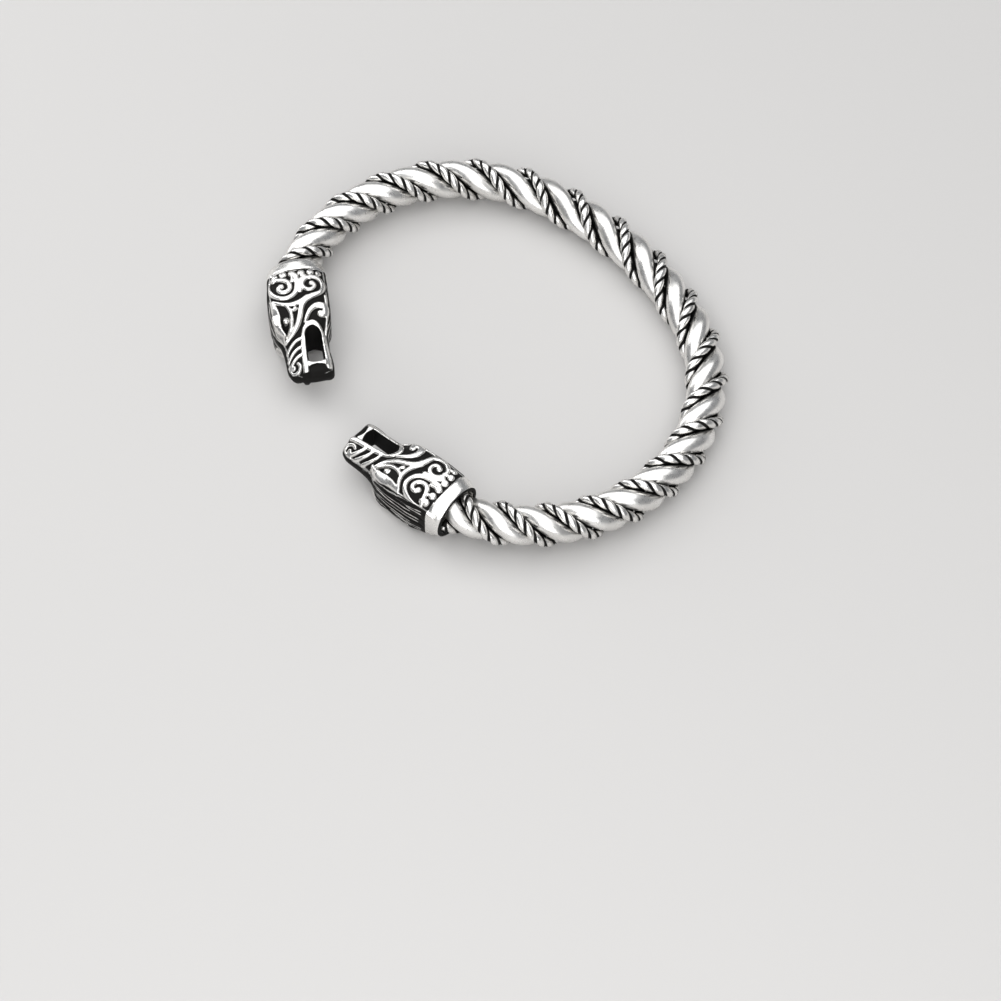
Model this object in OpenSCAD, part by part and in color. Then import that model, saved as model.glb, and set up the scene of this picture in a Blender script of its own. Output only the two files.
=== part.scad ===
// Open arm ring: two plain rods twisted together, with a rope laid in each of
// the two grooves between them, and a beast's head on each end. The ring lies on its side.
// z = 0 is the surface under it, the hollow for the wrist runs along Z, and
// the gap between the two noses faces -Y.

/* [Hoop] */
// Bend radius of the centreline along the right side
right_radius = 27.7; // [27:0.05:28.5]
// Bend radius of the centreline along the left side
left_radius = 27.4; // [27:0.05:28.5]
// Bend radius of the flatter back
back_radius = 53.6; // [50:0.1:58]
// Arc of the back to the right of its furthest point, degrees
right_back_turn = 5.7; // [4:0.1:8]
// Arc of the right side, degrees
right_side_turn = 138.1; // [134:0.1:139]
// Arc of the back to the left of its furthest point, degrees
left_back_turn = 30.2; // [27:0.1:32]
// Arc of the left side, degrees
left_side_turn = 104.7; // [102:0.1:108]

/* [Strands] */
// Radius of a plain rod
rod_r = 1.52; // [1.45:0.01:1.57]
// Radius of a rope, over its two plies
rope_r = 0.84; // [0.75:0.01:0.88]
// Clear space between neighbouring strands
strand_gap = 0.08; // [0.06:0.01:0.2]
// Full turns of the twist along the right half of the hoop
right_turns = 4.73; // [4.5:0.01:4.85]
// Full turns of the twist along the left half
left_turns = 4.97; // [4.7:0.01:5.1]
// Place of the first rod round the twist at the back, degrees from outward
twist_start = 101; // [0:1:359]
// How far the hand-made twist runs ahead and behind, degrees
twist_drift = 55; // [0:1:58]
// Waves of that drift in one turn of the twist
drift_waves = 0.125; // [0.1:0.005:0.14]
// Place of the drift's wave at the back, degrees
drift_start = 326; // [0:1:359]

/* [Heads] */
// Length of a head from the hoop's end to the nose
head_len = 20.6; // [20:0.1:21.5]
// Slope of a head in plan, falling towards the gap, degrees
head_fall = 20.4; // [18:0.1:22]
// Height of the cast lines above the ground between them
relief = 0.45; // [0.3:0.05:0.5]
// Clear space between the strands and the socket's wall
socket_play = 0.11; // [0.08:0.01:0.2]

/* [Hidden] */
$fn = 48;

// Half of the hoop on each side of the back's furthest point
// columns: side in X, arc of the back, arc of the side, radius of the side,
// turns of the twist
RIGHT = [1, right_back_turn, right_side_turn, right_radius, right_turns];
LEFT = [-1, left_back_turn, left_side_turn, left_radius, left_turns];

// Rods in the twist, the angle from one to the next, and the angle from a rod
// to the rope in the groove beside it
rod_count = 2;
rod_turn = 360 / rod_count;
groove_turn = rod_turn / 2;
// Sides round one rod and one rope, and the step between their rings
rod_sides = 12;
rope_sides = 8;
ring_step = 1;

// The strands run this far past the hoop's end, and the socket further
strand_seat = 1;
socket_floor = 2.15;
socket_len = 8;

// Head: unit for the tables below, a hundredth of the head's length
u = head_len / 100;
// Cross-sections of the head over its cast lines, from the collar to the nose
// columns: place along the axis, reach outward, reach inward and half
// thickness, all in u, then how square the outer and the inner side are,
// where 2 is an ellipse
SECTIONS = [
    [4, 23, 23, 20.5, 3, 3],
    [15, 24, 22.5, 21.8, 4, 4],
    [29, 25.5, 22, 22.3, 5, 5],
    [43, 25.5, 21.5, 21.8, 5, 5],
    [53, 24.5, 20.5, 20, 3.5, 6],
    [61, 22.5, 18, 16.5, 2, 4],
    [68, 20, 16.5, 14, 2, 3],
    [78, 18.5, 16.5, 12.8, 2, 3],
    [90, 18, 17.5, 11.8, 2, 3],
    [97, 15.5, 17, 10, 2, 3],
    [100, 10.5, 13.5, 6.5, 2, 2],
];
section_points = 20;

// Sections along which a raised rim follows the outer and the inner side, and
// the rim's width in u
RIMMED = [for (row = SECTIONS) if (row[0] > 14 && row[0] < 98) row];
rim_w = 2.6;

// Cross-sections of the plain collar behind it, in the same columns
COLLAR = [
    [-1.5, 22, 22, 20, 2, 2],
    [2, 23.2, 23.2, 21, 2.1, 2.1],
    [9.3, 23.8, 23.6, 21.3, 2.6, 2.6],
];
// Height above the axis at which cuts and cast lines are out of the head
clear_half = 30 * u;

// Cast lines of one face, as curves with four control points each
// columns: x and y of the four points in u, width at the start and end in u
LINES = [
    // brow, from under the inner scroll to the forehead
    [31, -18, 39, -12, 35, -3, 45, 0, 3.6, 3.9],
    [45, 0.5, 56, 2.5, 60, 6, 66, 17, 3.9, 3],
    // cheek
    [37, -6, 43, 3, 45, 13, 34, 23, 3.6, 2.4],
    // lower eyelid, and the upper one in two parts
    [41, 14, 46, 8, 59, 6.5, 66.5, 16.5, 2.4, 2.8],
    [36.5, 23.5, 41, 21.5, 46, 20.8, 51.5, 21, 2.4, 7],
    [51.5, 21, 57, 21.2, 62, 20.5, 66.5, 16.5, 7, 2.6],
    // hook under the brow, its stem first
    [56, -1, 48, -4, 43.5, -9, 46, -15.5, 2.4, 5.6],
    [46, -15.5, 48, -19.5, 55, -18, 52, -12.5, 5.6, 2.8],
    // outer and inner lip
    [58.8, -5, 60, 3.4, 70, 3.4, 99, 4.3, 3.4, 4],
    [58.8, -5, 60, -12, 70, -12.2, 98, -13.2, 3.4, 3.6],
    // nostril
    [86, 15, 95, 17, 98, 8, 90, 8, 2.7, 4],
    // loop round the outer scroll
    [15, 22, 29, 26, 40, 17, 35, 6, 2.4, 3.2],
    [35, 6, 32, 1, 25, 1, 19, -1, 3.2, 4.4],
    // stem of the outer scroll, and the mane behind it
    [15, 22, 17, 17, 19, 14, 21, 9, 2.4, 2.9],
    [11, 2, 15, 5, 18, 7, 24, 6, 3.4, 3.4],
];

// Wrinkles across the snout, which are alike
// columns: place of the foot along the axis in u
WRINKLES = [69, 76, 82.5];
// Where their feet are, how far they reach across and lean, and their widths
wrinkle_foot = 4 * u;
wrinkle_len = 12 * u;
wrinkle_lean = 4.5 * u;
wrinkle_w = 2.4 * u;
wrinkle_end_w = 2.9 * u;

// Scrolls
// columns: x and y of the middle, first and last radius, first angle in
// degrees, degrees turned, width, all lengths in u
SCROLLS = [
    [26, 13, 6.4, 1.9, 200, 400, 2.9],
    [26, -9, 9.4, 2.2, 300, -500, 3.1],
];

// Round knobs of the mane and the nostril
// columns: x, y and radius in u
KNOBS = [[12, 17, 2.6], [13, 10, 2.4], [12, -3, 2.4], [13, -9.5, 2.4], [90, 10, 2.4]];

// The bulging eye: place of its middle, and its radius
eye_x = 54.5 * u;
eye_y = 14 * u;
eye_z = 15 * u;
eye_r = 3.6 * u;

// The open mouth: its corner, its front, and its two edges
mouth_back = 61 * u;
mouth_front = 93 * u;
mouth_mid = -5 * u;
mouth_half = 6.2 * u;
// Half of the height of the two meeting teeth that close it
tooth_half = 10.2 * u;
// Half of a tooth's width at the lip, its width at the point as a share of
// that, and how far it reaches, with its root inside the lip
tooth_w = 2.4 * u;
tooth_point = 0.35;
tooth_reach = 1.1 * mouth_half;

function bezier(r, t) = [for (k = [0, 1])
    pow(1 - t, 3) * r[k] + 3 * t * pow(1 - t, 2) * r[2 + k]
    + 3 * t * t * (1 - t) * r[4 + k] + pow(t, 3) * r[6 + k]];

function turned(v) = [-v[1], v[0]];

function unit(v) = v / norm(v);

// Outline of a band of changing width along a row of points
function band(path, w0, w1) =
    let(
        n = len(path) - 1,
        side = [for (i = [0:n])
            let(run = path[min(i + 1, n)] - path[max(i - 1, 0)])
            turned(unit(run)) * (w0 + (w1 - w0) * i / n) / 2]
    )
    concat(
        [for (i = [0:n]) path[i] + side[i]],
        [for (i = [n:-1:0]) path[i] - side[i]]
    );

// Angle from the back's furthest point to a place that far along one half
function arc_angle(half, run) =
    let(back_len = back_radius * half[1] * PI / 180)
    run < back_len
        ? run / back_radius * 180 / PI
        : min(half[1] + (run - back_len) / half[3] * 180 / PI, half[1] + half[2]);

function half_len(half) = (back_radius * half[1] + half[3] * half[2]) * PI / 180;

// Plan point on one half of the centreline, straight beyond its end
function arc_point(half, run) =
    let(
        a = arc_angle(half, run),
        past = max(run - half_len(half), 0),
        bend = back_radius - half[3],
        x = bend * sin(half[1]) + half[3] * sin(a),
        y = bend * cos(half[1]) + half[3] * cos(a) - back_radius
    )
    a < half[1]
        ? [half[0] * back_radius * sin(a), back_radius * (cos(a) - 1)]
        : [half[0] * (x + past * cos(a)), y - past * sin(a)];

// The centreline by signed distance from its furthest point, left positive
function half_of(s) = s < 0 ? RIGHT : LEFT;
function spine(s) = arc_point(half_of(s), abs(s));
function outward(s) =
    let(half = half_of(s), a = arc_angle(half, abs(s)))
    [half[0] * sin(a), cos(a)];

// Angle of the first rod round the twist, from outward towards +Z
function twist(s) =
    let(half = half_of(s), run = 360 * half[4] * s / half_len(half))
    twist_start - run + twist_drift * sin(drift_waves * run + drift_start);

function strand_point(s, path_r, turn) =
    let(a = twist(s) + turn, p = spine(s) + path_r * cos(a) * outward(s))
    [p[0], p[1], path_r * sin(a)];

// Least distance between two helices on one straight axis, which come nearest
// to each other within this many degrees of the same place
nearest_turn = 70;
function helix_apart(ra, rb, turn, pitch) =
    min([for (t = [-nearest_turn:2:nearest_turn])
        norm([ra - rb * cos(turn + t), rb * sin(turn + t), pitch * t / 360])]);

// Path radii at which strands clear each other where the twist is tightest,
// which is on the inside of the bend where the drift shortens it
lead = min([for (half = [RIGHT, LEFT]) half_len(half) / half[4]]);
tight_lead = lead / (1 + twist_drift * drift_waves * PI / 180) * (1 - 2 * rod_r / left_radius);
function rod_path(r, passes) =
    passes == 0 ? r
        : rod_path(r * (2 * rod_r + strand_gap) / helix_apart(r, r, rod_turn, tight_lead), passes - 1);
function rope_path(r, passes) =
    passes == 0 ? r
        : rope_path(
            r + rod_r + rope_r + strand_gap - helix_apart(rod_path_r, r, groove_turn, tight_lead),
            passes - 1
        );
fit_passes = 12;
rod_path_r = rod_path(1.2 * rod_r, fit_passes);
rope_path_r = rope_path(2 * rod_r, fit_passes);
band_r = rope_path_r + rope_r;

// A round strand swept along the twist from one socket to the other
module strand(path_r, r, sides, turn) {
    from = -half_len(RIGHT) - strand_seat;
    to = half_len(LEFT) + strand_seat;
    rings = ceil((to - from) / ring_step);
    nudge = 0.05;
    points = [for (i = [0:rings], k = [0:sides - 1])
        let(
            s = from + (to - from) * i / rings,
            p = strand_point(s, path_r, turn),
            ahead = unit(strand_point(s + nudge, path_r, turn) - strand_point(s - nudge, path_r, turn)),
            mid = spine(s),
            raw = p - [mid[0], mid[1], 0],
            n = unit(raw - ahead * (raw * ahead)),
            b = cross(ahead, n),
            a = 360 * k / sides
        )
        p + r * (cos(a) * n + sin(a) * b)];
    polyhedron(points, skin(rings + 1, sides));
}

// Point k of the outline of one cross-section, made smaller all round by sunk
function section_point(row, k, sunk) =
    let(
        a = 360 * k / section_points,
        mid = (row[1] - row[2]) / 2 * u,
        wide = (row[1] + row[2]) / 2 * u - sunk,
        high = row[3] * u - sunk,
        power = 2 / (cos(a) > 0 ? row[4] : row[5])
    )
    [
        row[0] * u,
        mid + wide * sign(cos(a)) * pow(abs(cos(a)), power),
        high * sign(sin(a)) * pow(abs(sin(a)), power),
    ];

// Triangles between rings of points, with a flat end on each, for rings that
// turn to the left as seen from the last one
function skin(rings, sides) =
    concat(
        [for (i = [0:rings - 2], k = [0:sides - 1], second = [0, 1])
            let(
                k2 = (k + 1) % sides,
                low = i * sides,
                high = low + sides
            )
            second == 0 ? [low + k, high + k, high + k2] : [low + k, high + k2, low + k2]],
        [for (k = [1:sides - 2]) [0, k, k + 1]],
        [for (k = [1:sides - 2]) [0, k + 1, k] + (rings - 1) * sides * [1, 1, 1]]
    );

// A body through a row of cross-sections, made smaller all over by sunk
module shell(rows, sunk) {
    points = [for (row = rows, k = [0:section_points - 1]) section_point(row, k, sunk)];
    polyhedron(points, skin(len(rows), section_points));
}

module cast_lines() {
    for (r = LINES) {
        polygon(band([for (t = [0:7]) bezier(r, t / 7) * u], r[8] * u, r[9] * u));
    }
    for (x = WRINKLES) {
        path = [for (i = [0:3])
            let(t = i / 3)
            [x * u + wrinkle_lean * t * t, wrinkle_foot + wrinkle_len * t]];
        polygon(band(path, wrinkle_w, wrinkle_end_w));
    }
    for (r = SCROLLS) {
        steps = ceil(abs(r[5]) / 25);
        path = [for (i = [0:steps])
            let(t = i / steps, a = r[4] + r[5] * t, reach = r[2] + (r[3] - r[2]) * t)
            [r[0] + reach * cos(a), r[1] + reach * sin(a)] * u];
        polygon(band(path, r[6] * u, r[6] * u));
    }
    for (side = [1, 2]) {
        away = side == 1 ? 1 : -1;
        polygon(band(
            [for (row = RIMMED) [row[0], away * (row[side] - rim_w / 4)] * u],
            rim_w * u, rim_w * u
        ));
    }
    for (r = KNOBS) {
        translate([r[0], r[1]] * u) circle(r[2] * u);
    }
}

// The slot between the jaws, with a round corner
module mouth_plan() {
    translate([mouth_back + mouth_half, mouth_mid]) circle(mouth_half);
    translate([mouth_back + mouth_half, mouth_mid - mouth_half])
        square([mouth_front - mouth_back - mouth_half, 2 * mouth_half]);
}

module teeth() {
    for (side = [-1, 1]) {
        translate([mouth_front - tooth_w / 2, mouth_mid, -tooth_half])
            linear_extrude(2 * tooth_half)
            polygon([
                [-tooth_w * tooth_point, 0], [tooth_w * tooth_point, 0],
                [tooth_w, side * tooth_reach], [-tooth_w, side * tooth_reach],
            ]);
    }
}

// One head along +X with its outer side towards +Y and the hoop's end at the
// origin. The socket follows the hoop's end, at an angle to the head.
module head(kink) {
    difference() {
        union() {
            shell(COLLAR, 0);
            shell(SECTIONS, relief);
            for (face = [-1, 1]) {
                translate([eye_x, eye_y, face * eye_z]) sphere(eye_r);
            }
            intersection() {
                shell(SECTIONS, 0);
                linear_extrude(2 * clear_half, center = true) cast_lines();
            }
        }
        linear_extrude(2 * clear_half, center = true) mouth_plan();
        rotate([0, 0, kink]) translate([socket_floor, 0, 0]) rotate([0, -90, 0])
            cylinder(h = socket_len, r = band_r + socket_play);
    }
    teeth();
}

// How far the strands reach from the back's furthest point in one direction
function hoop_reach(way) =
    max([for (s = [-half_len(RIGHT):1:half_len(LEFT)], i = [0:rod_count - 1])
        max(
            strand_point(s, rod_path_r, i * rod_turn) * way + rod_r,
            strand_point(s, rope_path_r, i * rod_turn + groove_turn) * way + rope_r
        )]);

// The ring is moved to stand on the middle of its box, and tips a little, so
// that the fullest section of both heads and the back touch z = 0
end_y = arc_point(LEFT, half_len(LEFT))[1];
nose_drop = max([for (row = SECTIONS) (row[0] * sin(head_fall) + row[1] * cos(head_fall)) * u]);
FULLEST = SECTIONS[2];
rest_half = FULLEST[3] * u;
rest_drop = FULLEST[0] * u * sin(head_fall);
tip = asin((rest_half - band_r) / (rest_drop - end_y));
mid_x = (hoop_reach([1, 0, 0]) - hoop_reach([-1, 0, 0])) / 2;
mid_y = (hoop_reach([0, 1, 0]) + end_y - nose_drop) / 2;

module placed() {
    translate([-mid_x, end_y - mid_y, rest_half - rest_drop * sin(tip)]) rotate([-tip, 0, 0])
        translate([0, -end_y, 0]) children();
}

module rod(i) {
    color("silver") placed() strand(rod_path_r, rod_r, rod_sides, i * rod_turn);
}

module rope(i) {
    color("darkgray") placed() strand(rope_path_r, rope_r, rope_sides, i * rod_turn + groove_turn);
}

module placed_head(half) {
    end = arc_point(half, half_len(half));
    kink = 180 - half[1] - half[2] - head_fall;
    color("lightgray") placed() translate([end[0], end[1], 0])
        mirror([half[0] > 0 ? 1 : 0, 0, 0]) rotate([0, 0, -head_fall]) mirror([0, 1, 0]) head(kink);
}

rod(0);  // rod_1
rod(1);  // rod_2
rope(0);  // rope_1
rope(1);  // rope_2
placed_head(LEFT);  // head_left
placed_head(RIGHT);  // head_right
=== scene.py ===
"""Looks of the arm ring: rods, two-ply ropes and the cast heads in antique silver."""

from math import asin, ceil, cos, pi, radians, sin

import bpy
import numpy as np
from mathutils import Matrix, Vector


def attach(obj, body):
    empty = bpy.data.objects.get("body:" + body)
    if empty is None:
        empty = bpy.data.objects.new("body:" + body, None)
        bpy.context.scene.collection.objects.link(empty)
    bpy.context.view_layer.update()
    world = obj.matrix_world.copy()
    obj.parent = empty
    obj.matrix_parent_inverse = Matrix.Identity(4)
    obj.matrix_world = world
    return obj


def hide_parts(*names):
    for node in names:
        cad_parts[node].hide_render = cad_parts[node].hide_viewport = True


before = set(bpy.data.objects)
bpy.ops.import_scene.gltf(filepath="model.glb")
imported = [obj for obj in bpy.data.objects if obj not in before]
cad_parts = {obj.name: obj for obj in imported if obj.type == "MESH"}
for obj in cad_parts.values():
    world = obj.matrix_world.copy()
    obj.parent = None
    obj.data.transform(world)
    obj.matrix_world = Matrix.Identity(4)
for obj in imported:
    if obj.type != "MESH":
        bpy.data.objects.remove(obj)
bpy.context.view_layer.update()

# Lengths are in millimetres here and become metres when a mesh is made
MM = 0.001

# The hoop, as in the part's source: side in X, arcs of the back and of the side
# in degrees, radius of the side, and turns of the twist
BACK_RADIUS = 53.6
RIGHT = {"side": 1, "back": 5.7, "turn": 138.1, "radius": 27.7, "twists": 4.73}
LEFT = {"side": -1, "back": 30.2, "turn": 104.7, "radius": 27.4, "twists": 4.97}

# The strands, as in the part's source
ROD_COUNT = 2
ROD_TURN = 360 / ROD_COUNT
GROOVE_TURN = ROD_TURN / 2
ROD_R = 1.52
ROPE_R = 0.84
STRAND_GAP = 0.08
STRAND_SEAT = 1
# Where the twist stands at the back, in degrees, and its slow drift: how far in
# degrees, how many waves for each turn, and where the wave starts
TWIST_START = 101
TWIST_DRIFT = 55
DRIFT_WAVES = 0.125
DRIFT_START = 326
# Passes in which a path radius settles, and the turns in degrees tried in each
FIT_PASSES = 12
NEAR_TURNS = np.arange(-70, 71, 2)

# The two plies of a rope: radius, radius of their path, and length of one turn
PLY_R = 0.61
PLY_PATH_R = 0.23
PLY_LEAD = 4.8

# Rings along each strand and points round it, and the step that its direction
# is taken over
ROD_RINGS, ROD_SIDES = 520, 32
ROPE_RINGS, ROPE_SIDES = 900, 14
NUDGE = 0.05

# Where a strand turns black, as patina and as painted shade between the strands:
# degrees round a rod from its outermost line, distance of a ply's skin from the
# rope's middle, and how far outward of that middle the skin lies, as a share of
# the rope's radius
ROD_SHADE = (62, 92)
PLY_VALLEY = (0.77, 0.68)
ROPE_BACK = (-0.2, -0.65)

# The heads, as in the part's source: length, how far they turn inward in
# degrees, depth of the relief, and the socket of the strands
HEAD_LEN = 20.6
HEAD_FALL = 20.4
RELIEF = 0.45
SOCKET_PLAY = 0.11
SOCKET_FLOOR = 2.15
U = HEAD_LEN / 100

# Cross-sections: place along the axis, reach outward and inward, half thickness,
# in hundredths of the head's length, and how square the outer and inner side are
SECTIONS = np.array([
    [4, 23, 23, 20.5, 3, 3],
    [15, 24, 22.5, 21.8, 4, 4],
    [29, 25.5, 22, 22.3, 5, 5],
    [43, 25.5, 21.5, 21.8, 5, 5],
    [53, 24.5, 20.5, 20, 3.5, 6],
    [61, 22.5, 18, 16.5, 2, 4],
    [68, 20, 16.5, 14, 2, 3],
    [78, 18.5, 16.5, 12.8, 2, 3],
    [90, 18, 17.5, 11.8, 2, 3],
    [97, 15.5, 17, 10, 2, 3],
    [100, 10.5, 13.5, 6.5, 2, 2],
])
FULLEST = SECTIONS[2]
COLLAR = np.array([
    [-1.5, 22, 22, 20, 2, 2],
    [2, 23.2, 23.2, 21, 2.1, 2.1],
    [9.3, 23.8, 23.6, 21.3, 2.6, 2.6],
])

# Curves through four control points each, in hundredths of the head's length,
# with the width at the start, in the middle and at the end
LINES = [
    # brow, from the inner scroll over the cheek to the forehead
    [34.5, -13.8, 37, -8, 37, -2, 46, 1, 4, 5, 4],
    [46, 1, 57, 4, 62, 6, 68, 16, 4, 4, 3],
    # cheek
    [37, -5, 42, 3, 46, 11, 37, 22, 4.4, 3.6, 2.4],
    # spur in front of the cheek
    [47, 9.5, 48, 8, 47.5, 6.5, 46, 5.5, 2.6, 2.2, 3.2],
    # lower eyelid
    [41, 14, 46, 8, 59, 6.5, 66.5, 16.5, 2.4, 3, 2.8],
    # hook under the brow, its stem first
    [57, -0.5, 50, -4, 43.5, -8, 45.8, -15, 2.4, 3.8, 5.6],
    [45.8, -15, 48, -19.5, 54.5, -18, 52.5, -12.8, 5.6, 5.8, 4.8],
    # outer and inner lip
    [58.6, -5.5, 60, 3.4, 70, 3.6, 98.5, 4.4, 4.4, 4, 4.2],
    [58.6, -5.5, 60, -12.2, 70, -12.8, 94.5, -13.4, 4.4, 3.8, 4],
    # nostril
    [90, 16, 95, 18, 98.5, 13.5, 96, 9.8, 2.8, 2.8, 2.8],
    [96, 9.8, 94, 8, 91, 8, 89.5, 9.6, 2.8, 2.4, 2.2],
    # loop round the outer scroll
    [15, 22.5, 29, 26.5, 40, 17, 34.5, 7, 2.8, 3.2, 3.6],
    [34.5, 7, 31, 1, 24, 1, 15, 1, 3.6, 4.4, 3.6],
    # stem of the outer scroll
    [15.5, 22, 17.5, 17, 17.5, 13, 19.4, 10.4, 2.4, 3.2, 3.4],
    # jaw's edge behind the hook
    [36, -18.5, 44, -18.5, 56, -17.5, 66, -15.5, 1.8, 1.6, 1.8],
    # web between the inner scroll and the loop
    [17, -5, 20, -2, 24, -0.5, 30, 0, 4.5, 5, 4],
]
# The upper eyelid, as two more such curves
LID_LINES = [
    [36.5, 23.5, 41, 21.5, 46, 20.8, 51.5, 21, 2.4, 4.6, 7],
    [51.5, 21, 57, 21.2, 62, 20.5, 66.5, 16.5, 7, 4.8, 2.6],
]
CURVE_POINTS = 15
# Wrinkles across the snout, in hundredths: where each one's foot lies along the
# axis, and how far from it, their length, widths, and how far their tops lean
# forward, which grows along the snout
WRINKLES = [69, 76, 82.5]
WRINKLE_FOOT = 3.5
WRINKLE_LEN = 13
WRINKLE_WIDTHS = (2.2, 2.7)
WRINKLE_LEAN = 4.5
WRINKLE_GROWTH = 0.05625
WRINKLE_POINTS = 7
# Scrolls: middle, first and last radius, first angle and turn in degrees, width
SCROLLS = [
    [25.7, 13.2, 7.4, 1.4, 205, 310, 3.8],
    [25.7, -8.7, 10.4, 1.8, -30, -470, 3.6],
]
# A scroll's last width and the radius of its end knob as shares of its width,
# and the degrees between its points
SCROLL_TAPER = 0.8
SCROLL_KNOB = 0.6
SCROLL_STEP = 14
# Locks of the mane, each a round knob before the collar with a short stem:
# middle and radius of the knob, and the stem's end
LOCKS = [
    [14, 17.6, 2.5, 18, 19], [13.2, 11, 2.9, 18, 13], [13.2, 4, 2.9, 20, 4.5],
    [13.2, -3.2, 2.8, 20, -3], [13.4, -10, 2.7, 19, -9], [15, -16, 2.2, 20, -14.5],
]
LOCK_WIDTHS = (1.8, 2.8)
# The pearl in the nostril: middle and radius
PEARL = (92, 13.4, 1.8)
# The eye: place of its middle, its radius and how far it stays under the lids,
# in millimetres
EYE = (54.5 * U, 14 * U)
EYE_R = 0.52
EYE_SUNK = 0.05
# The open mouth: its corner, its front, its middle line and half its width
MOUTH = {"back": 61 * U, "front": 93 * U, "mid": -5 * U, "half": 6.2 * U}
# A tooth: half thickness, half width at the root, the share of that left at the
# tip, how fast it narrows, and its length as a share of half the mouth's width
TOOTH_HALF = 2.3
TOOTH_W = 2.4 * U
TOOTH_TIP = 0.35
TOOTH_CURVE = 1.5
TOOTH_ROOT = 1.1
# The swelling of the upper lid: the height at its inner edge, where that edge
# lies, how fast it falls outward, and how proud of the head it stands
LID_TOP = 3.98
LID_EDGE = 3.5
LID_FALL = 0.3
LID_PROUD = 1.15
# Grooves along the flanks: distance from the head's middle plane, half width,
# depth, and where each begins and ends along the head, in millimetres
GROOVES = [
    [0.85, 0.16, 0.22, 2.6, 17.5],
    [2.0, 0.18, 0.25, 5.5, 16.5],
    [3.05, 0.16, 0.2, 3, 10.5],
]
# How far a groove's ends and edges fade, and how far outward the grooves begin
GROOVE_FADE = 0.8
GROOVE_EDGE = 0.12
GROOVE_FROM = 1
# Painted highlight streaks on the flanks' painted shade: distance from the middle plane at
# their start, how far they drift in the head's length, and start and end
PAINTED_HIGHLIGHT_STREAKS = [
    [0.35, 0.5, 3, 12], [1.45, -0.9, 4.5, 15], [2.55, -1.6, 2.6, 9], [3.3, -3, 5, 14],
    [1.9, 1.2, 2.6, 6], [0.6, 1.8, 10, 17],
]
STREAK_EDGE = (0.14, 0.04)
STREAK_FADE = 0.5

# Fillets, in millimetres: round an edge, or at the foot of what stands on the head
NOSE_FILLET = 0.5
LID_FILLET, LID_FRONT_FILLET, LID_FOOT = 0.25, 0.4, 0.1
EYE_FOOT = 0.06
COLLAR_FILLET, COLLAR_FOOT = 0.25, 0.08
MOUTH_FILLET = 0.12
TOOTH_FILLET, TOOTH_FOOT = 0.2, 0.12

# The grid that a head is drawn on, in the head's own frame, and the least slope
# that a distance is worked out from
VOXEL = 0.11
GRID_LOW = np.array([-1.1, -5.5, -5.0])
GRID_HIGH = np.array([21.3, 5.9, 5.0])
LEAST_SLOPE = 0.05
# How far the drawn shape is smoothed, and where a blur's tail is cut off
SMOOTHING = 0.07
BLUR_TAIL = 2.5

# Where one kind of surface fades into the next. By the distance to a line's
# edge, to the mouth, to the eye's rim and to the lid's edge:
LINE_EDGE = (0.12, -0.12)
MOUTH_EDGE = (0.3, 0.15)
EYE_EDGE = (0.05, -0.1)
LID_RIM = (0.1, -0.1)
# By the place along the head: the collar's rear, its front, and the nose
COLLAR_REAR = (-0.12, -0.22)
COLLAR_FRONT = (2.1, 1.95)
NOSE = (19.8, 20.4)
# By the distance outward or inward from the head's axis
FLANK = (0.3, 1.2)
# By how level the surface lies: 0 on a flank, 1 on a face
FACE_LEVEL = (0.3, 0.6)
LID_LEVEL = (0.35, 0.6)
MOUTH_LEVEL = (0.75, 0.4)
NOSE_LEVEL = (0.7, 0.4)
# By the share of metal within reach of a point, and that reach
HOLLOW = (0.54, 0.68)
HOLLOW_REACH = 0.4
# How dark the painted shade on the nose's front and on the flanks is, and how much a painted
# highlight streak takes away
NOSE_PAINTED_SHADE = 0.85
FLANK_PAINTED_SHADE = 0.85
STREAK_HIGHLIGHT = 0.5

# The silver, its colours linear. A noise has a scale, in marks for each metre, a
# detail and a roughness
BRIGHT_TONE = (0.93, 0.92, 0.9, 1)
WARM_TONE = (0.75, 0.735, 0.71, 1)
BLACK_TONE = (0.009, 0.0085, 0.008, 1)
TONES, TONE_FADE = (230, 4, 0.6), (0.3, 0.7)
# Blotches and specks that make the edge of the black patina and painted shade uneven
BLOTCHES, BLOTCH_AMOUNT = (420, 3, 0.5), 0.5
SPECKS, SPECK_AMOUNT = (2600, 4, 0.65), 0.4
BLACK_FADE = (0.3, 0.72)
# Roughness of the black, the polish's patches, and how fast metal turns to the black patina and
# painted shade
BLACK_ROUGH = 0.55
PATCHES, PATCH_FADE = (900, 5, 0.7), (0.3, 0.75)
METAL_FADE = (0.2, 1)
PATINA_AND_SHADE_SPECULAR = 0.08
# Bumps of the cast or drawn skin: detail and roughness of their noise, how much
# finer the fine grain is, both grains' shares, and the height in metres
GRAIN = (3, 0.6)
FINER = 5
COARSE_SHARE, FINE_SHARE = 0.6, 0.25
BUMP_STRENGTH = 0.3
BUMP_HEIGHT = 0.00012
# Each silver takes its noise from a place of its own
SEED_WAY = (1, 0.37, 0.71)

# The studio, in metres and watts
FLOOR_SIZE = 1.6
FLOOR_COLOR = (0.56, 0.55, 0.54, 1)
FLOOR_ROUGH = 0.7
AIR_COLOR = (0.8, 0.82, 0.85, 1)
AIR_STRENGTH = 0.32
# Area lights: name, place, width, height and power. All aim at the ring's middle
LIGHTS = [
    ("key", (-0.1, 0.06, 0.6), 0.95, 0.95, 4.3),
    ("fill", (0.3, -0.19, 0.24), 0.42, 0.42, 1.2),
    ("rim", (-0.34, -0.16, 0.2), 0.16, 0.34, 0.5),
]
LIGHT_AIM = Vector((0, 0, 0.004))
# The camera at the photograph's angle, with its lens and sensor in millimetres
TARGET = Vector((0.02317, -0.01349, 0))
AZIMUTH = radians(60)
ELEVATION = radians(57)
DISTANCE = 0.4854
LENS = 113.74
SENSOR = 36
CLIP = (0.01, 10)


# The hoop
def half_len(half):
    """Length of one half of the centreline."""
    return radians(BACK_RADIUS * half["back"] + half["radius"] * half["turn"])


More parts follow.
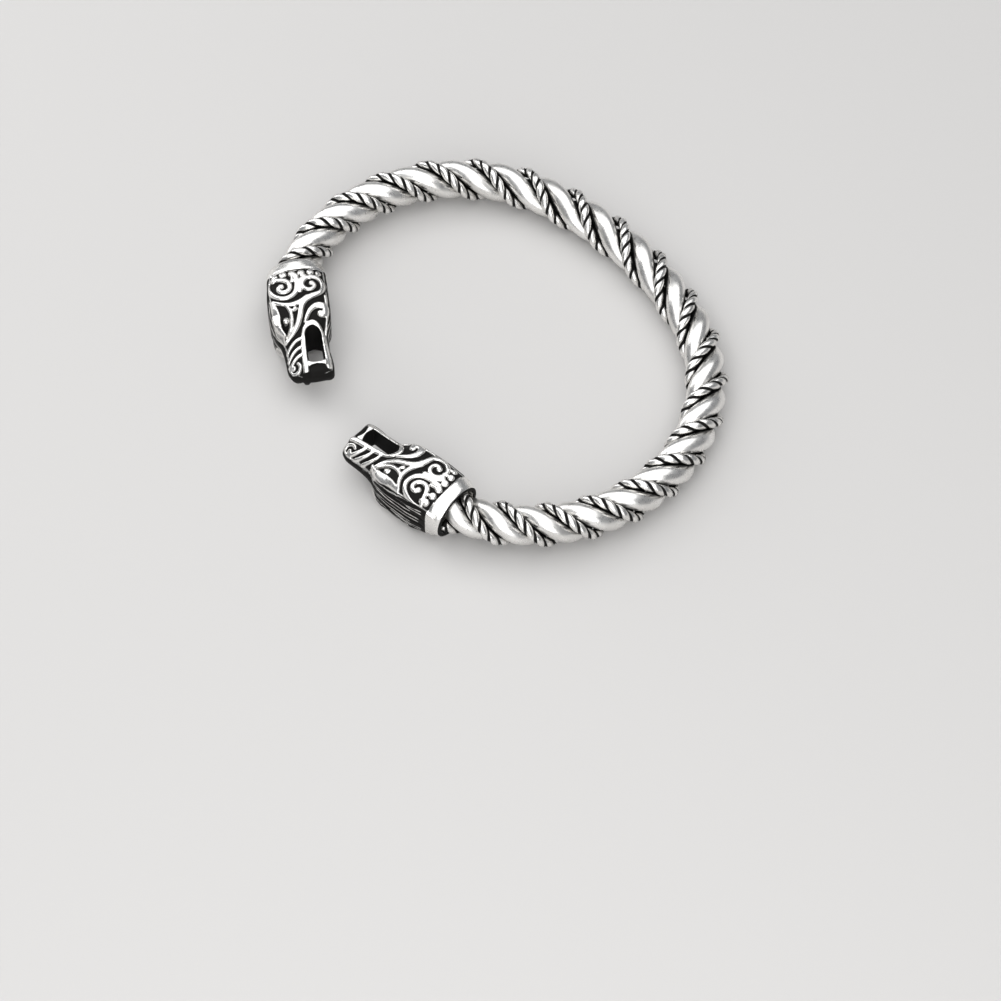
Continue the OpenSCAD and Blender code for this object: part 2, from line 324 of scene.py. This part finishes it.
def arc_point(half, run):
    """Plan points on one half of the centreline, and their outward directions."""
    back = radians(half["back"])
    back_len = BACK_RADIUS * back
    end = back + radians(half["turn"])
    a = np.where(run < back_len, run / BACK_RADIUS,
                 np.minimum(back + (run - back_len) / half["radius"], end))
    past = np.maximum(run - half_len(half), 0)
    bend = BACK_RADIUS - half["radius"]
    x = bend * sin(back) + half["radius"] * np.sin(a)
    y = bend * cos(back) + half["radius"] * np.cos(a) - BACK_RADIUS
    on_back = a < back
    px = np.where(on_back, BACK_RADIUS * np.sin(a), x + past * np.cos(a))
    py = np.where(on_back, BACK_RADIUS * (np.cos(a) - 1), y - past * np.sin(a))
    flat = np.zeros_like(px)
    return (np.stack([half["side"] * px, py, flat], -1),
            np.stack([half["side"] * np.sin(a), np.cos(a), flat], -1))


def spine(s):
    """Centreline points and outward directions, by distance to the left of the back."""
    right, left = arc_point(RIGHT, -s), arc_point(LEFT, s)
    pick = (s < 0)[:, None]
    return np.where(pick, right[0], left[0]), np.where(pick, right[1], left[1])


def twist(s):
    """Degrees that the strands have turned at s, with the drift."""
    run = 360 * s * np.where(s < 0, RIGHT["twists"] / half_len(RIGHT),
                             LEFT["twists"] / half_len(LEFT))
    return TWIST_START - run + TWIST_DRIFT * np.sin(np.radians(DRIFT_WAVES * run + DRIFT_START))


def strand_point(s, path_r, turn):
    """Points of a strand's centreline, twisted round the hoop's own."""
    mid, outward = spine(s)
    a = np.radians(twist(s) + turn)[:, None]
    return mid + path_r * (np.cos(a) * outward + np.sin(a) * np.array([0, 0, 1]))


def helix_apart(ra, rb, turn, pitch):
    """Least distance between two helices on one straight axis."""
    a = np.radians(turn + NEAR_TURNS)
    return np.sqrt((ra - rb * np.cos(a)) ** 2 + (rb * np.sin(a)) ** 2
                   + (pitch * NEAR_TURNS / 360) ** 2).min()


# Each path radius settles, from a rough guess, where its strands just clear each
# other at the tightest place of the twist
lead = min(half_len(half) / half["twists"] for half in (RIGHT, LEFT))
inner_share = 1 - 2 * ROD_R / LEFT["radius"]
tight_lead = lead / (1 + radians(TWIST_DRIFT) * DRIFT_WAVES) * inner_share
rod_path_r = 1.2 * ROD_R
for _ in range(FIT_PASSES):
    apart = helix_apart(rod_path_r, rod_path_r, ROD_TURN, tight_lead)
    rod_path_r *= (2 * ROD_R + STRAND_GAP) / apart
rope_path_r = 2 * ROD_R
for _ in range(FIT_PASSES):
    apart = helix_apart(rod_path_r, rope_path_r, GROOVE_TURN, tight_lead)
    rope_path_r += ROD_R + ROPE_R + STRAND_GAP - apart
band_r = rope_path_r + ROPE_R


def hoop_reach(way):
    """How far the strands reach in one direction from the middle of the back."""
    s = np.arange(-half_len(RIGHT), half_len(LEFT), 1)
    return max(
        (strand_point(s, path_r, turn + extra) @ np.array(way)).max() + r
        for path_r, r, extra in ((rod_path_r, ROD_R, 0), (rope_path_r, ROPE_R, GROOVE_TURN))
        for turn in ROD_TURN * np.arange(ROD_COUNT)
    )


def end_of(half):
    """Plan point where one half of the hoop meets its head."""
    return arc_point(half, np.array([half_len(half)]))[0][0]


# The ring stands on the middle of its box and tips so that heads and back touch
end_y = end_of(LEFT)[1]
fall = radians(HEAD_FALL)
nose_drop = ((SECTIONS[:, 0] * sin(fall) + SECTIONS[:, 1] * cos(fall)) * U).max()
rest_half = FULLEST[3] * U
rest_drop = FULLEST[0] * U * sin(fall)
tip = asin((rest_half - band_r) / (rest_drop - end_y))
mid_x = (hoop_reach((1, 0, 0)) - hoop_reach((-1, 0, 0))) / 2
mid_y = (hoop_reach((0, 1, 0)) + end_y - nose_drop) / 2


def placed(points):
    """Points of the hoop's own frame, moved to where the ring rests."""
    x, y, z = points[..., 0], points[..., 1] - end_y, points[..., 2]
    return np.stack([
        x - mid_x,
        y * cos(tip) + z * sin(tip) + end_y - mid_y,
        z * cos(tip) - y * sin(tip) + rest_half - rest_drop * sin(tip),
    ], -1)


def placed_head(points, half):
    """Points of a head's own frame: along the head, outward, and thickness."""
    x, y, z = points[..., 0], -points[..., 1], points[..., 2]
    end = end_of(half)
    return placed(np.stack([
        half["side"] * -(x * cos(fall) + y * sin(fall)) + end[0],
        y * cos(fall) - x * sin(fall) + end[1],
        z,
    ], -1))


# Meshes
def make_mesh(name, points, faces, patina_and_painted_shade):
    """A smooth mesh piece from points in millimetres, with how black each one is, as patina and
    painted shade.
    """
    mesh = bpy.data.meshes.new(name)
    count, sides = faces.shape
    mesh.vertices.add(len(points))
    mesh.vertices.foreach_set("co", (points * MM).astype(np.float32).ravel())
    mesh.loops.add(count * sides)
    mesh.loops.foreach_set("vertex_index", faces.astype(np.int32).ravel())
    mesh.polygons.add(count)
    mesh.polygons.foreach_set("loop_start", np.arange(0, count * sides, sides, dtype=np.int32))
    mesh.update(calc_edges=True)
    mesh.polygons.foreach_set("use_smooth", np.ones(count, bool))
    depth = mesh.attributes.new("patina_and_painted_shade", "FLOAT", "POINT")
    depth.data.foreach_set("value", patina_and_painted_shade.astype(np.float32))
    mesh.validate()
    piece = bpy.data.objects.new(name, mesh)
    bpy.context.scene.collection.objects.link(piece)
    return piece


def ramp(low, high, value):
    """From 0 at low to 1 at high, eased at both."""
    t = np.clip((value - low) / (high - low), 0, 1)
    return t * t * (3 - 2 * t)


def unit(v):
    return v / np.linalg.norm(v, axis=-1, keepdims=True)


def across(v, ahead):
    """Directions squared to the way ahead."""
    return unit(v - ahead * (v * ahead).sum(-1, keepdims=True))


def tube_faces(rings, sides, start=0):
    """Quads round a tube, and a fan of quads over each end ring."""
    i, k = np.meshgrid(np.arange(rings - 1), np.arange(sides), indexing="ij")
    low, low2 = i * sides + k, i * sides + (k + 1) % sides
    quads = np.stack([low, low2, low2 + sides, low + sides], -1).reshape(-1, 4)
    half = np.arange(sides // 2 - 1)
    cap = np.stack([half, sides - 1 - half, sides - 2 - half, half + 1], -1)
    last = (rings - 1) * sides
    return np.concatenate([quads, cap, cap[:, ::-1] + last]) + start


def strand_frame(rings, path_r, turn):
    """Points of a strand's centreline, with its radial and side directions."""
    s = np.linspace(-half_len(RIGHT) - STRAND_SEAT, half_len(LEFT) + STRAND_SEAT, rings)
    p = strand_point(s, path_r, turn)
    ahead = unit(strand_point(s + NUDGE, path_r, turn) - strand_point(s - NUDGE, path_r, turn))
    n = across(p - spine(s)[0], ahead)
    return p, n, np.cross(ahead, n)


def sweep(p, n, b, r, sides):
    """Points on a round tube of radius r along p."""
    a = 2 * pi * np.arange(sides) / sides
    return (p[:, None] + r * (np.cos(a)[None, :, None] * n[:, None]
                              + np.sin(a)[None, :, None] * b[:, None])).reshape(-1, 3)


def rod(i):
    """A plain round rod, black where it faces into the band, as patina and painted shade."""
    p, n, b = strand_frame(ROD_RINGS, rod_path_r, i * ROD_TURN)
    points = sweep(p, n, b, ROD_R, ROD_SIDES)
    a = 360 * np.arange(ROD_SIDES) / ROD_SIDES
    shade = ramp(*ROD_SHADE, np.minimum(a, 360 - a))
    piece = make_mesh(f"plain_rod_{i + 1}", placed(points), tube_faces(ROD_RINGS, ROD_SIDES),
                      np.tile(shade, ROD_RINGS))
    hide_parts(f"rod_{i + 1}")
    return piece


def rope(i):
    """A rope of two plies, black between them and where it lies in its groove, as patina and
    painted shade.
    """
    p, n, b = strand_frame(ROPE_RINGS, rope_path_r, i * ROD_TURN + GROOVE_TURN)
    run = np.concatenate([[0], np.cumsum(np.linalg.norm(np.diff(p, axis=0), axis=1))])
    points, faces, patina_and_painted_shade = [], [], []
    for ply in (0, 1):
        lay = 2 * pi * run / PLY_LEAD + pi * ply
        out = np.cos(lay)[:, None] * n + np.sin(lay)[:, None] * b
        centre = p + PLY_PATH_R * out
        forward = unit(np.gradient(centre, axis=0))
        m = across(out, forward)
        ring = sweep(centre, m, np.cross(forward, m), PLY_R, ROPE_SIDES)
        rel = ring.reshape(ROPE_RINGS, ROPE_SIDES, 3) - p[:, None]
        reach = np.linalg.norm(rel, axis=-1)
        face_out = (rel * n[:, None]).sum(-1) / ROPE_R
        deep = np.maximum(ramp(*PLY_VALLEY, reach), ramp(*ROPE_BACK, face_out))
        points.append(ring)
        faces.append(tube_faces(ROPE_RINGS, ROPE_SIDES, ply * ROPE_RINGS * ROPE_SIDES))
        patina_and_painted_shade.append(deep.ravel())
    piece = make_mesh(f"two_ply_rope_{i + 1}", placed(np.concatenate(points)),
                      np.concatenate(faces), np.concatenate(patina_and_painted_shade))
    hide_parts(f"rope_{i + 1}")
    return piece


# The cast lines on the faces of a head, as distances in its plan: less than 0
# inside a line, in millimetres
def stroke(x, y, path, widths):
    """Distance to the edge of a line with round ends, its path in hundredths."""
    path, widths = path * U, widths * U
    gaps = []
    for i in range(len(path) - 1):
        a, d = path[i], path[i + 1] - path[i]
        t = np.clip(((x - a[0]) * d[0] + (y - a[1]) * d[1]) / (d @ d), 0, 1)
        w = widths[i] + (widths[i + 1] - widths[i]) * t
        gaps.append(np.hypot(x - a[0] - t * d[0], y - a[1] - t * d[1]) - w / 2)
    return np.minimum.reduce(gaps)


def disc(x, y, cx, cy, r):
    """Distance to the edge of a round knob, its place in hundredths."""
    return np.hypot(x - cx * U, y - cy * U) - r * U


def curve(x, y, row):
    """A curve through four control points, with three widths."""
    p = np.array(row[:8], float).reshape(4, 2)
    t = np.linspace(0, 1, CURVE_POINTS)
    widths = np.interp(t, [0, 0.5, 1], row[8:])
    t = t[:, None]
    path = ((1 - t) ** 3 * p[0] + 3 * t * (1 - t) ** 2 * p[1]
            + 3 * t * t * (1 - t) * p[2] + t ** 3 * p[3])
    return stroke(x, y, path, widths)


def wrinkle(x, y, foot):
    t = np.linspace(0, 1, WRINKLE_POINTS)
    lean = WRINKLE_LEAN + WRINKLE_GROWTH * foot
    path = np.stack([foot + lean * t ** 2, WRINKLE_FOOT + WRINKLE_LEN * t], -1)
    return stroke(x, y, path, np.interp(t, [0, 1], WRINKLE_WIDTHS))


def scroll(x, y, row):
    cx, cy, first_r, last_r, start, turn, width = row
    t = np.linspace(0, 1, ceil(abs(turn) / SCROLL_STEP))
    a, r = np.radians(start + turn * t), first_r + (last_r - first_r) * t
    path = np.stack([cx + r * np.cos(a), cy + r * np.sin(a)], -1)
    line = stroke(x, y, path, np.interp(t, [0, 1], [width, width * SCROLL_TAPER]))
    return np.minimum(line, disc(x, y, *path[-1], width * SCROLL_KNOB))


def lock(x, y, row):
    cx, cy, r, stem_x, stem_y = row
    stem = stroke(x, y, np.array([[cx, cy], [stem_x, stem_y]]), np.array(LOCK_WIDTHS))
    return np.minimum(stem, disc(x, y, cx, cy, r))


def upper_lid(x, y):
    return np.minimum.reduce([curve(x, y, row) for row in LID_LINES])


def tooth(x, y):
    """The plan of the two teeth, which narrow towards each other."""
    off_mid = np.abs(y - MOUTH["mid"])
    share = np.clip(off_mid / MOUTH["half"], 0, 1) ** TOOTH_CURVE
    wide = TOOTH_W * (TOOTH_TIP + (1 - TOOTH_TIP) * share)
    return np.maximum(np.abs(x - MOUTH["front"] + TOOTH_W / 2) - wide,
                      off_mid - MOUTH["half"] * TOOTH_ROOT)


def mouth(x, y):
    """The plan of the open mouth, round at its corner and straight at its front."""
    along = np.clip(x, MOUTH["back"] + MOUTH["half"], None)
    slot = np.hypot(x - along, y - MOUTH["mid"]) - MOUTH["half"]
    return np.maximum(slot, x - MOUTH["front"])


def drawn_lines(x, y):
    """The nearest of all the cast lines, the lids and the teeth."""
    return np.minimum.reduce(
        [curve(x, y, row) for row in LINES]
        + [wrinkle(x, y, foot) for foot in WRINKLES]
        + [scroll(x, y, row) for row in SCROLLS]
        + [lock(x, y, row) for row in LOCKS]
        + [disc(x, y, *PEARL), upper_lid(x, y), tooth(x, y)])


# A head, as a field of distances on a grid: less than 0 in the metal
def smooth_columns(table, x):
    """Columns of a table at x, on curves that never pass the rows they join."""
    at, rows = table[:, 0] * U, table[:, 1:]
    step = np.diff(at)[:, None]
    slope = np.diff(rows, axis=0) / step
    tangent = np.zeros_like(rows)
    same = slope[:-1] * slope[1:] > 0
    tangent[1:-1] = np.where(same, 2 * slope[:-1] * slope[1:]
                             / np.where(same, slope[:-1] + slope[1:], 1), 0)
    tangent[0], tangent[-1] = slope[0], slope[-1]
    x = np.clip(x, at[0], at[-1])
    i = np.clip(np.searchsorted(at, x) - 1, 0, len(at) - 2)
    t = ((x - at[i]) / step[i, 0])[:, None]
    h = step[i]
    return ((2 * t ** 3 - 3 * t ** 2 + 1) * rows[i] + (t ** 3 - 2 * t ** 2 + t) * h * tangent[i]
            + (3 * t ** 2 - 2 * t ** 3) * rows[i + 1] + (t ** 3 - t ** 2) * h * tangent[i + 1])


def loft(table, x, y, z):
    """Distance to a lofted body without ends, and how level its surface lies."""
    out, inn, half, p_out, p_in = smooth_columns(table, x[:, 0, 0]).T[:, :, None, None]
    side = (y - (out - inn) / 2 * U) / ((out + inn) / 2 * U)
    up = np.abs(z) / (half * U)
    p = np.where(side > 0, p_out, p_in)
    g = (np.abs(side) ** p + up ** p) ** (1 / p) - 1
    slope = np.stack(np.gradient(g, VOXEL))
    size = np.maximum(np.sqrt((slope ** 2).sum(0)), LEAST_SLOPE)
    return g / size, np.abs(slope[2]) / size


def join(a, b, soft):
    """The nearer of two fields, with a fillet of about soft between them."""
    h = np.clip(0.5 + 0.5 * (b - a) / soft, 0, 1)
    return b + (a - b) * h - soft * h * (1 - h)


def cut(a, b, soft):
    """A field with another one taken out of it, its edge rounded by about soft."""
    return -join(-a, b, soft)


def blurred(field, sigma):
    """A field averaged over a round neighbourhood of sigma grid steps."""
    reach = ceil(BLUR_TAIL * sigma)
    k = np.exp(-0.5 * (np.arange(-reach, reach + 1) / sigma) ** 2)
    k /= k.sum()
    for axis in range(3):
        pad = [(reach, reach) if i == axis else (0, 0) for i in range(3)]
        wide = np.pad(field, pad, mode="edge")
        field = sum(w * np.take(wide, np.arange(i, i + field.shape[axis]), axis)
                    for i, w in enumerate(k))
    return field


def sampled(field, at):
    """A grid's values between its points, at places in grid steps."""
    low = np.clip(np.floor(at).astype(int), 0, np.array(field.shape) - 2)
    t = at - low
    total = 0
    for corner in np.ndindex(2, 2, 2):
        w = np.prod(np.where(np.array(corner) == 1, t, 1 - t), axis=-1)
        total = total + w * field[tuple((low + corner).T)]
    return total


def sampled_plan(plan, at):
    """A plan's values, the same at any height, at places in grid steps."""
    return sampled(np.repeat(plan[:, :, None], 2, axis=2), at * (1, 1, 0))


def surface(field):
    """Points in grid steps and quads on the surface where a field passes zero."""
    cells = np.array(field.shape) - 1
    keys, places, quads = [], [], []
    for axis in range(3):
        n = field.shape[axis]
        a, b = (np.take(field, np.arange(i, n - 1 + i), axis) for i in (0, 1))
        at = np.argwhere((a < 0) != (b < 0))
        va, vb = a[tuple(at.T)], b[tuple(at.T)]
        where = at.astype(float)
        where[:, axis] += va / (va - vb)
        j, k = (axis + 1) % 3, (axis + 2) % 3
        around = []
        for dj, dk in ((-1, -1), (0, -1), (0, 0), (-1, 0)):
            cell = at.copy()
            cell[:, j] += dj
            cell[:, k] += dk
            key = np.ravel_multi_index(tuple(cell.T), tuple(cells))
            keys.append(key)
            places.append(where)
            around.append(key)
        quad = np.stack(around, -1)
        quads.append(np.where((va < 0)[:, None], quad, quad[:, ::-1]))
    keys, places = np.concatenate(keys), np.concatenate(places)
    used, index = np.unique(keys, return_inverse=True)
    count = np.bincount(index)
    points = np.stack([np.bincount(index, places[:, c]) / count for c in range(3)], -1)
    return points, np.searchsorted(used, np.concatenate(quads))


def relief(x, y, z, sunk, on_face):
    """How deep the ground lies between a face's lines and in a flank's grooves."""
    depth = RELIEF * sunk[:, :, None] * on_face
    for at, wide, deep, start, end in GROOVES:
        groove = (ramp(start - GROOVE_FADE, start + GROOVE_FADE, x)
                  * ramp(end + GROOVE_FADE, end - GROOVE_FADE, x)
                  * ramp(wide + GROOVE_EDGE, wide - GROOVE_EDGE, np.abs(np.abs(z) - at))
                  * (y > GROOVE_FROM))
        depth = depth + deep * groove * (1 - on_face)
    return depth


def swollen_lid(y, z, lid, skin):
    """The swelling of the upper lid on both faces, low towards the snout."""
    top = LID_TOP - LID_FALL * np.clip(y - LID_EDGE, 0, None) ** 2
    swelling = cut(lid[:, :, None], top - np.abs(z), LID_FILLET)
    return cut(swelling, LID_PROUD - skin, LID_FRONT_FILLET)


def eyes(x, y, z, skin):
    """The eye on each face, which lies between its lids."""
    i, j = (int(round((place - low) / VOXEL)) for place, low in zip(EYE, GRID_LOW))
    mid = z.size // 2
    depth = np.interp(0, skin[i, j, mid:], z[0, 0, mid:]) - EYE_R - EYE_SUNK
    return np.sqrt((x - EYE[0]) ** 2 + (y - EYE[1]) ** 2 + (np.abs(z) - depth) ** 2) - EYE_R


def collar(x, y, z):
    """The plain collar, with eased edges."""
    ring, _ = loft(COLLAR, x, y, z)
    ends = np.maximum(COLLAR[0, 0] * U - x, x - COLLAR[-1, 0] * U)
    return cut(ring, -ends, COLLAR_FILLET)


def socket(half, x, y, z):
    """The socket of the strands, in line with the end of the hoop."""
    kink = radians(180 - half["back"] - half["turn"] - HEAD_FALL)
    depth = x * cos(kink) + y * sin(kink)
    off_axis = y * cos(kink) - x * sin(kink)
    return np.maximum(np.hypot(off_axis, z) - band_r - SOCKET_PLAY, depth - SOCKET_FLOOR)


def head_body(half, x, y, z, skin, on_face, plan):
    """The whole head with its collar, mouth, teeth, eyes and socket."""
    body = skin + relief(x, y, z, plan["sunk"], on_face)
    body = np.maximum(body, SECTIONS[0, 0] * U - x)
    body = cut(body, HEAD_LEN - x, NOSE_FILLET)
    body = join(body, swollen_lid(y, z, plan["lid"], skin), LID_FOOT)
    body = join(body, eyes(x, y, z, skin), EYE_FOOT)
    body = join(body, collar(x, y, z), COLLAR_FOOT)
    body = cut(body, plan["mouth"][:, :, None], MOUTH_FILLET)
    teeth = cut(plan["tooth"][:, :, None], TOOTH_HALF - np.abs(z), TOOTH_FILLET)
    body = join(body, teeth, TOOTH_FOOT)
    return np.maximum(body, -socket(half, x, y, z))


def flank_painted_highlights(along, off_mid):
    """Painted highlights in streaks along the head, where the flanks' painted shade is lightened.
    """
    streaks = []
    for at, drift, start, end in PAINTED_HIGHLIGHT_STREAKS:
        off_line = np.abs(off_mid - at - drift * (along - start) / HEAD_LEN)
        streaks.append(ramp(*STREAK_EDGE, off_line) * ramp(start, start + STREAK_FADE, along)
                       * ramp(end, end - STREAK_FADE, along))
    return np.maximum.reduce(streaks)


def patina_and_painted_shade_of(body, on_face, plan, grid, local):
    """How black each point is, from its place and from the metal round it: patina in the sunk
    ground and in hollows, painted shade in hollows, on the flanks and on the nose's front, and dark
    too on the mouth's walls and the collar's rear.
    """
    along, outward, off_mid = local[:, 0], local[:, 1], np.abs(local[:, 2])
    slope = np.stack([sampled(part, grid) for part in np.gradient(body)], -1)
    level = np.abs(slope[:, 2]) / np.linalg.norm(slope, axis=-1)
    face = sampled(on_face, grid)
    past_collar = 1 - ramp(*COLLAR_FRONT, along)
    on_eye = ramp(*EYE_EDGE, np.hypot(along - EYE[0], outward - EYE[1]) - EYE_R)
    on_lid = ramp(*LID_RIM, sampled_plan(plan["lid"], grid)) * ramp(*LID_LEVEL, level)
    # The flanks get painted shade here, away from the faces, the collar and the lid
    flank = (1 - face) * past_collar * (1 - on_lid) * ramp(*FLANK, np.abs(outward))
    # In a hollow, more than half of what lies round a point is metal; there the head is made black,
    # as patina and as painted shade
    metal = blurred((body < 0).astype(np.float32), HOLLOW_REACH / VOXEL)
    return np.maximum.reduce([
        sampled_plan(plan["sunk"], grid) * face * past_collar * (1 - on_eye),
        ramp(*HOLLOW, sampled(metal, grid)),
        sampled_plan(ramp(*MOUTH_EDGE, plan["mouth"]), grid) * ramp(*MOUTH_LEVEL, level),
        ramp(*COLLAR_REAR, along),
        # Painted shade on the nose's front
        NOSE_PAINTED_SHADE * ramp(*NOSE, along) * ramp(*NOSE_LEVEL, level),
        # Painted shade on the flanks, lightened by painted highlight streaks
        flank * (FLANK_PAINTED_SHADE - STREAK_HIGHLIGHT * flank_painted_highlights(along, off_mid)),
    ])


def head(half, name, node):
    """One head with its collar, as a smooth mesh."""
    count = np.round((GRID_HIGH - GRID_LOW) / VOXEL).astype(int) + 1
    x, y, z = np.meshgrid(*(GRID_LOW[i] + VOXEL * np.arange(count[i]) for i in range(3)),
                          indexing="ij", sparse=True)
    plan_x, plan_y = np.broadcast_arrays(x[:, :, 0], y[:, :, 0])
    plan = {
        "sunk": 1 - ramp(*LINE_EDGE, drawn_lines(plan_x, plan_y)),
        "lid": upper_lid(plan_x, plan_y),
        "mouth": mouth(plan_x, plan_y),
        "tooth": tooth(plan_x, plan_y),
    }
    skin, level = loft(SECTIONS, x, y, z)
    on_face = ramp(*FACE_LEVEL, level)
    body = blurred(head_body(half, x, y, z, skin, on_face, plan), SMOOTHING / VOXEL)
    grid, quads = surface(body)
    local = GRID_LOW + VOXEL * grid
    if half["side"] < 0:
        quads = quads[:, ::-1]
    piece = make_mesh(name, placed_head(local, half), quads,
                      patina_and_painted_shade_of(body, on_face, plan, grid, local))
    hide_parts(node)
    return piece


# Materials and pieces
def silver(name, seed, grain, smooth, dull):
    """Antique silver: polished where it stands proud, black where it is deep, as patina and as
    painted shade.
    """
    mat = bpy.data.materials.new(name)
    mat.use_nodes = True
    nodes, links = mat.node_tree.nodes, mat.node_tree.links
    nodes.clear()

    def add(kind, **values):
        node = nodes.new(kind)
        for key, value in values.items():
            setattr(node, key, value)
        return node

    out = add("ShaderNodeOutputMaterial")
    bsdf = add("ShaderNodeBsdfPrincipled")
    links.new(bsdf.outputs[0], out.inputs[0])
    coord = add("ShaderNodeTexCoord")
    shift = add("ShaderNodeMapping")
    shift.inputs["Location"].default_value = [seed * way for way in SEED_WAY]
    links.new(coord.outputs["Object"], shift.inputs["Vector"])

    def noise(scale, detail, rough):
        node = add("ShaderNodeTexNoise")
        node.inputs["Scale"].default_value = scale
        node.inputs["Detail"].default_value = detail
        node.inputs["Roughness"].default_value = rough
        links.new(shift.outputs[0], node.inputs["Vector"])
        return node.outputs[0]

    def calc(kind, a, b):
        node = add("ShaderNodeMath", operation=kind)
        for socket, value in zip(node.inputs, (a, b)):
            if isinstance(value, (int, float)):
                socket.default_value = value
            else:
                links.new(value, socket)
        return node.outputs[0]

    def uneven(value, marks, amount):
        return calc("ADD", value, calc("MULTIPLY", calc("SUBTRACT", marks, 0.5), amount))

    def eased(value, fade, to_low=0.0, to_high=1.0):
        node = add("ShaderNodeMapRange", interpolation_type="SMOOTHSTEP")
        for key, number in (("From Min", fade[0]), ("From Max", fade[1]),
                            ("To Min", to_low), ("To Max", to_high)):
            node.inputs[key].default_value = number
        links.new(value, node.inputs["Value"])
        return node.outputs[0]

    patina_and_painted_shade = add("ShaderNodeAttribute", attribute_name="patina_and_painted_shade").outputs["Fac"]
    edge = uneven(patina_and_painted_shade, noise(*BLOTCHES), BLOTCH_AMOUNT)
    edge = uneven(edge, noise(*SPECKS), SPECK_AMOUNT)
    black = eased(edge, BLACK_FADE)

    tone = add("ShaderNodeValToRGB")
    for element, place, color in zip(tone.color_ramp.elements, TONE_FADE, (WARM_TONE, BRIGHT_TONE)):
        element.position = place
        element.color = color
    links.new(noise(*TONES), tone.inputs[0])
    mix = add("ShaderNodeMix", data_type="RGBA")
    links.new(black, mix.inputs[0])
    links.new(tone.outputs[0], mix.inputs[6])
    mix.inputs[7].default_value = BLACK_TONE
    links.new(mix.outputs[2], bsdf.inputs["Base Color"])

    rough = add("ShaderNodeMix", data_type="FLOAT")
    links.new(black, rough.inputs[0])
    links.new(eased(noise(*PATCHES), PATCH_FADE, smooth, dull), rough.inputs[2])
    rough.inputs[3].default_value = BLACK_ROUGH
    links.new(rough.outputs[0], bsdf.inputs["Roughness"])
    links.new(eased(black, METAL_FADE, 1, 0), bsdf.inputs["Metallic"])
    bsdf.inputs["Specular IOR Level"].default_value = PATINA_AND_SHADE_SPECULAR

    height = calc("ADD", calc("MULTIPLY", noise(grain, *GRAIN), COARSE_SHARE),
                  calc("MULTIPLY", noise(grain * FINER, *GRAIN), FINE_SHARE))
    bump = add("ShaderNodeBump")
    bump.inputs["Strength"].default_value = BUMP_STRENGTH
    bump.inputs["Distance"].default_value = BUMP_HEIGHT
    links.new(height, bump.inputs["Height"])
    links.new(bump.outputs[0], bsdf.inputs["Normal"])
    return mat


rod_silver = silver("rod_silver", seed=0.3, grain=700, smooth=0.24, dull=0.4)
rope_silver = silver("rope_silver", seed=1.1, grain=1500, smooth=0.2, dull=0.36)
cast_silver = silver("cast_silver", seed=2.3, grain=1100, smooth=0.16, dull=0.34)

dressed = []
for index in range(ROD_COUNT):
    dressed += [(rod(index), rod_silver), (rope(index), rope_silver)]
dressed += [(head(LEFT, "beast_head_left", "head_left"), cast_silver),
            (head(RIGHT, "beast_head_right", "head_right"), cast_silver)]
for piece, material in dressed:
    piece.data.materials.append(material)
    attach(piece, "root")


# Floor, lights, camera and air
def paper():
    mat = bpy.data.materials.new("studio_paper")
    mat.use_nodes = True
    bsdf = mat.node_tree.nodes["Principled BSDF"]
    bsdf.inputs["Base Color"].default_value = FLOOR_COLOR
    bsdf.inputs["Roughness"].default_value = FLOOR_ROUGH
    return mat


def soft_light(name, place, width, height, power):
    data = bpy.data.lights.new(name, "AREA")
    data.shape = "RECTANGLE"
    data.size = width
    data.size_y = height
    data.energy = power
    lamp = bpy.data.objects.new(name, data)
    bpy.context.scene.collection.objects.link(lamp)
    lamp.location = place
    lamp.rotation_euler = (LIGHT_AIM - Vector(place)).to_track_quat("-Z", "Y").to_euler()


def photo_camera():
    data = bpy.data.cameras.new("camera")
    data.sensor_width = SENSOR
    data.lens = LENS
    data.clip_start, data.clip_end = CLIP
    camera = bpy.data.objects.new("camera", data)
    bpy.context.scene.collection.objects.link(camera)
    camera.location = TARGET + DISTANCE * Vector((
        sin(AZIMUTH) * cos(ELEVATION), -cos(AZIMUTH) * cos(ELEVATION), sin(ELEVATION)))
    camera.rotation_euler = (camera.location - TARGET).to_track_quat("Z", "Y").to_euler()
    return camera


bpy.ops.mesh.primitive_plane_add(size=FLOOR_SIZE, location=(0, 0, 0))
floor = bpy.context.object
floor.name = "studio_floor"
floor.data.materials.append(paper())

for light in LIGHTS:
    soft_light(*light)

world = bpy.data.worlds.new("studio_air")
world.use_nodes = True
air = world.node_tree.nodes["Background"]
air.inputs["Color"].default_value = AIR_COLOR
air.inputs["Strength"].default_value = AIR_STRENGTH
bpy.context.scene.world = world
bpy.context.scene.view_settings.view_transform = "Standard"
bpy.context.scene.camera = photo_camera()
